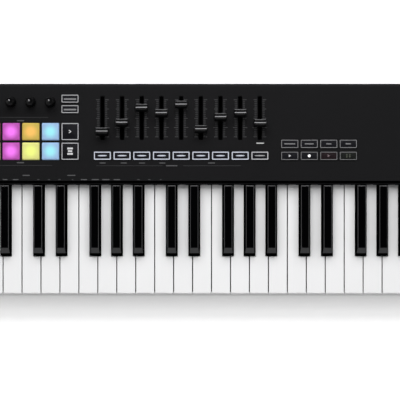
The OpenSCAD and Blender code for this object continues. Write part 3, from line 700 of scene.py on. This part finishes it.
def make_fader_buttons():
    """Nine wide buttons: the last one is lit a plain grey, the others brighter and a little blue."""
    last = FADERS - 1

    def outline(i, x, y):
        return MAT["line_bright" if i < last else "line_white"], 1.2 * MM

    def label(i, x, y, z):
        wide, deep, colour = (11.2, 1.7, "label_bright") if i < last else (13.0, 1.4, "label_grey")
        polygon_mark(f"fader_button_label_{i + 1}", "fader_buttons", ellipse(x, y, wide * MM, deep * MM, 28), z,
                     colour)

    button_row("fader_buttons", lambda i, x, y: MAT["button"], outline, label)


def make_transport_buttons():
    """Two rows of four: words on the rear row, and play, record, play and pause signs on the front row."""
    def outline(i, x, y):
        return MAT["line_dim" if i % 2 else "line_ghost"], 0.75 * MM

    def face(i, x, y):
        column, row = divmod(i, 2)
        return MAT["button" if row else ("button", "button", "button_red", "button_green")[column]]

    def label(i, x, y, z):
        column, row = divmod(i, 2)
        name, body = f"transport_mark_{i + 1}", "transport_buttons"
        if row == 1:
            bar_mark(name, body, x, y, z, (13.5, 11.0, 6.5, 6.5)[column] * MM, 1.3 * MM, "label_dim")
        elif column == 0:
            polygon_mark(name, body, arrow(x, y, 1.2 * MM, 1.7 * MM, 1.5 * MM), z, "icon_grey")
        elif column == 1:
            polygon_mark(name, body, ellipse(x, y, 3.5 * MM, 3.5 * MM, 20), z, "icon_white")
        elif column == 2:
            polygon_mark(name, body, arrow(x, y, 1.3 * MM, 1.6 * MM, 1.6 * MM), z, "icon_red")
        else:
            for side, word in ((-1, "left"), (1, "right")):
                bar_mark(f"{name}_{word}", body, x + side * 1.8 * MM, y, z, 1.5 * MM, 5.0 * MM, "icon_green")

    button_row("transport_buttons", face, outline, label)


def make_function_buttons():
    """Squares with an arrow or three bars, and small buttons with a word, wider on the two at the right."""
    boxes = solids("function_buttons")
    right = max(b[1].x for b in boxes)

    def is_square(i):
        return boxes[i][3] > SQUARE_D

    def is_right(i):
        return boxes[i][1].x > right - 3 * MM

    def outline(i, x, y):
        if is_square(i):
            return MAT["line_white"], 0.95 * MM
        return (MAT["line_grey"], 0.9 * MM) if is_right(i) else (MAT["line_dim"], 0.75 * MM)

    def label(i, x, y, z):
        name, body = f"function_mark_{i + 1}", "function_buttons"
        if not is_square(i):
            wide, deep, lower = (15.5, 2.0, 0.6) if is_right(i) else (9.0, 1.3, 0.0)
            bar_mark(name, body, x, y - lower * MM, z, wide * MM, deep * MM, "label_dim")
        elif y > SQUARE_ROWS_MIDDLE:
            s = 1.0 if is_right(i) else -1.0
            tail, half, thick = 2.1 * MM, 1.9 * MM, 1.5 * MM
            polygon_mark(name, body, [(x - s * tail, y + half), (x - s * (tail - thick), y + half),
                                      (x + s * 1.7 * MM, y), (x - s * (tail - thick), y - half),
                                      (x - s * tail, y - half), (x + s * 0.1 * MM, y)], z, "icon_grey")
        else:
            lit = "icon_grey" if is_right(i) else "label_grey"
            for k, wide in enumerate((7.0 * MM, 5.4 * MM, 7.0 * MM)):
                bm = bmesh.new()
                for side in (-1, 1):
                    loft(bm, wide / 2 - 0.15 * MM, 2.3 * MM, 0.5 * MM, [(0, z), (0, z + 0.12 * MM)],
                         x + side * wide / 4, y + (1 - k) * 3.3 * MM)
                finish_piece(f"{name}_{k + 1}", bm, MAT[lit], body)

    button_row("function_buttons", lambda i, x, y: MAT["button"], outline, label)


# ---------------------------------------------------------------- knobs and faders

FLUTES = 18
FLUTE_DEPTH = 0.28 * MM
POINTER_GLINT_TURN = math.radians(20)
# Underside of the fader caps
CAP_FOOT = 64.5 * MM


def make_knob(i):
    """A lathed knob with a fluted grip, a shallow dish on top and a pale pointer, which also stands in for the glint
    on its top as a painted highlight.
    """
    low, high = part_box(f"knob_{i}")
    x, y = (low.x + high.x) / 2, (low.y + high.y) / 2
    r, foot, top = (high.x - low.x) / 2, PANEL_Z + 1.0 * MM, high.z
    profile = [(0.5 * MM, low.z), (3.0 * MM, low.z), (3.0 * MM, foot), (r - 0.3 * MM, foot), (r, foot + 0.4 * MM),
               (r, foot + 1.6 * MM), (r - 0.5 * MM, foot + 2.2 * MM), (r - 0.7 * MM, foot + 3.2 * MM),
               (r - 1.0 * MM, top - 1.4 * MM), (r - 1.2 * MM, top - 0.6 * MM), (r - 1.6 * MM, top - 0.15 * MM),
               (r - 2.1 * MM, top), (r - 2.6 * MM, top - 0.1 * MM), (r - 3.4 * MM, top - 0.35 * MM),
               (0.6 * MM, top - 0.5 * MM)]
    around = FLUTES * 6
    bm = bmesh.new()
    rings = []
    for radius, z in profile:
        grip = FLUTE_DEPTH if foot + 2.8 * MM < z < top - 0.5 * MM and radius > 3.5 * MM else 0.0
        points = []
        for k in range(around):
            a = math.tau * k / around
            reach = radius - grip * (0.5 + 0.5 * math.cos(FLUTES * a))
            points.append((reach * math.cos(a), reach * math.sin(a)))
        rings.append(ring(bm, points, z))
    for a, b in zip(rings, rings[1:]):
        bridge(bm, a, b)
    bm.faces.new(rings[-1])
    bm.faces.new(list(reversed(rings[0])))
    body = f"knob_{i}"
    piece = finish_piece(f"knob_body_{i}", bm, MAT["knob"], body, (x, y, 0.0))
    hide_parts(body)
    # The pale pointer is part pointer, part painted highlight of the glint on the knob's top.
    bm = bmesh.new()
    bar(bm, 0.0, 1.5 * MM, 1.25 * MM, 2.3 * MM, top - 0.6 * MM, 0.3 * MM)
    bmesh.ops.rotate(bm, verts=bm.verts, matrix=Matrix.Rotation(POINTER_GLINT_TURN, 3, "Z"))
    finish_piece(f"knob_pointer_glint_{i}", bm, MAT["pointer"], body, (x, y, 0.0))


def make_fader(i):
    """A fader's lever and its cap: a waisted block with a finger hollow and an index line, and a grey line along the
    cap's rear edge that is a painted highlight.
    """
    low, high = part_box(f"fader_{i}")
    x, y = (low.x + high.x) / 2, (low.y + high.y) / 2
    w, d, top = high.x - low.x, high.y - low.y, high.z
    bm = bmesh.new()
    loft(bm, 1.6 * MM, 5.0 * MM, 0.3 * MM, [(0, low.z), (0, CAP_FOOT + 1.0 * MM)])
    loft(bm, w, d, 1.0 * MM, [(0.3 * MM, CAP_FOOT), (0, CAP_FOOT + 0.4 * MM), (0, CAP_FOOT + 3.0 * MM),
                              (0.5 * MM, CAP_FOOT + 6.0 * MM), (1.0 * MM, top - 1.2 * MM),
                              (1.25 * MM, top - 0.9 * MM)])
    # Two grip ridges across the cap leave a hollow between them, where the index line lies.
    ridge = 2.3 * MM
    for side in (-1, 1):
        loft(bm, w - 2.2 * MM, ridge, 0.7 * MM, [(0, top - 1.4 * MM), (0.15 * MM, top - 0.3 * MM),
                                                 (0.6 * MM, top)], 0.0, side * (d / 2 - 1.1 * MM - ridge / 2))
    body = f"fader_{i}"
    piece = finish_piece(f"fader_cap_{i}", bm, MAT["cap"], body, (x, y, 0.0))
    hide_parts(body)
    bm = bmesh.new()
    bar(bm, 0.0, 0.3 * MM, w - 1.2 * MM, 1.1 * MM, top - 0.95 * MM, 0.15 * MM)
    finish_piece(f"fader_line_{i}", bm, MAT["cap_line"], body, (x, y, 0.0))
    # A grey line along the cap's rear edge: a painted highlight of that edge.
    bm = bmesh.new()
    bar(bm, 0.0, d / 2 - 0.50 * MM, w - 1.6 * MM, 0.95 * MM, top - 4.6 * MM, 0.3 * MM)
    finish_piece(f"fader_edge_highlight_{i}", bm, MAT["cap_edge_highlight"], body, (x, y, 0.0))


# The slots, the part of them that the caps travel, and the ticks beside it
SLOT_LOW, SLOT_HIGH, SLOT_W = 61.0 * MM, 113.9 * MM, 4.4 * MM
TRAVEL_LOW, TRAVEL_HIGH = 64.4 * MM, 110.0 * MM
TRAVEL, TRAVEL_MID = TRAVEL_HIGH - TRAVEL_LOW, (TRAVEL_LOW + TRAVEL_HIGH) / 2
MAJOR_TICKS = 5
MINOR_TICKS = 21
TICK_D = 0.8 * MM
# The major tick that is longer than the others, counted from the front
LONG_TICK = 1


def make_fader_scales():
    """A black dust seal round each slot, a little wider than the slot so that it also paints the shade at the slot's
    edge, and on each side of it a pale band of painted highlight with printed ticks.
    """
    seals_and_shade, side_highlights, majors, minors = bmesh.new(), bmesh.new(), bmesh.new(), bmesh.new()
    for i in range(1, FADERS + 1):
        low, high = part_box(f"fader_{i}")
        x = (low.x + high.x) / 2
        # The seal is part seal, part painted shade that widens the slot's dark opening.
        frame_ring(seals_and_shade, SLOT_W + 0.7 * MM, SLOT_HIGH - SLOT_LOW + 1.2 * MM, 0.6 * MM, 0.6 * MM,
                   PANEL_Z - 0.05 * MM, 0.25 * MM, x, (SLOT_LOW + SLOT_HIGH + 0.5 * MM) / 2)
        # For each side: where its band of painted highlight lies and how wide it is, and the same for its minor
        # ticks
        for side, band_x, band_w, minor_x, minor_w in ((-1, -5.0, 2.6, -5.2, 3.4), (1, 4.3, 2.1, 4.6, 2.8)):
            bar(side_highlights, x + band_x * MM, TRAVEL_MID, band_w * MM, TRAVEL, PANEL_Z)
            for n in range(MINOR_TICKS):
                y = TRAVEL_LOW + TRAVEL * n / (MINOR_TICKS - 1)
                bar(minors, x + minor_x * MM, y, minor_w * MM, TICK_D, PANEL_Z, 0.16 * MM)
            for n in range(MAJOR_TICKS):
                y = TRAVEL_LOW + TRAVEL * n / (MAJOR_TICKS - 1)
                wide = (5.4 if n == LONG_TICK else 4.4) * MM
                bar(majors, x + side * (3.5 * MM + wide / 2), y, wide, TICK_D, PANEL_Z, 0.18 * MM)
    finish_piece("fader_slot_seals_and_shade", seals_and_shade, MAT["felt"], CASE)
    finish_piece("fader_slot_side_highlights", side_highlights, MAT["slot_side_highlight"], CASE)
    finish_piece("fader_scale_majors", majors, MAT["print_faint"], CASE)
    finish_piece("fader_scale_minors", minors, MAT["print_ghost"], CASE)


# ---------------------------------------------------------------- prints on the panel

# Bars that stand for the panel's words, over the keys and beside the pads and faders, as (x, y, width), and fine
# lines as ((from x, to x), y), all in millimetres
LEGENDS = [(-240, 11.8, 6), (-227, 11.8, 7), (-199, 11.8, 3), (-186, 11.8, 3), (-173, 11.8, 3),
           (-143, 11.8, 7.5), (-129, 11.8, 9), (-116, 11.8, 9), (-102.5, 11.8, 8), (-76, 11.8, 3),
           (-62.5, 11.8, 3), (-48.5, 11.8, 2), (-157, 11.8, 2), (-214, 17, 9), (-158.5, 17, 10)]
PAD_MARKS = [(-221, 84.2, 9), (-221, 32.6, 9), (-120, 32.2, 7.5), (-94, 32.2, 7.5), (-71.5, 32.2, 7.5),
             (-46.5, 32.2, 7.5), (14, 32.2, 8.5), (-35, 28.8, 14)]
SHORT_WORD = 5
LINES = [((-366, -187), 88.3), ((-366, -182), 29.2), ((-128, -46), 28.8), ((-21, 50), 28.8)]


def make_prints():
    """The panel's printed marks: the short ones are fainter."""
    legends, small, lines = bmesh.new(), bmesh.new(), bmesh.new()
    for x, y, w in LEGENDS + PAD_MARKS:
        bar(legends if w > SHORT_WORD else small, x * MM, y * MM, w * MM, 1.2 * MM, PANEL_Z)
    for (x0, x1), y in LINES:
        bar(lines, (x0 + x1) / 2 * MM, y * MM, (x1 - x0) * MM, 0.6 * MM, PANEL_Z)
    finish_piece("panel_legends", legends, MAT["print"], CASE)
    finish_piece("panel_legends_small", small, MAT["print_faint"], CASE)
    finish_piece("panel_lines", lines, MAT["print_ghost"], CASE)
    # The one word that is printed white, in front of the faders
    bright = bmesh.new()
    bar(bright, 73.8 * MM, 56.6 * MM, 9.6 * MM, 1.3 * MM, PANEL_Z)
    finish_piece("panel_marks_white", bright, MAT["print_white"], CASE)


make_camera()
make_stage()
dress_case()
dress_keys()
make_pads()
make_fader_buttons()
make_transport_buttons()
make_function_buttons()
for number in range(1, KNOBS + 1):
    make_knob(number)
for number in range(1, FADERS + 1):
    make_fader(number)
make_fader_scales()
make_prints()

# The photograph's greys are plain display greys.
SCENE.view_settings.view_transform = "Standard"
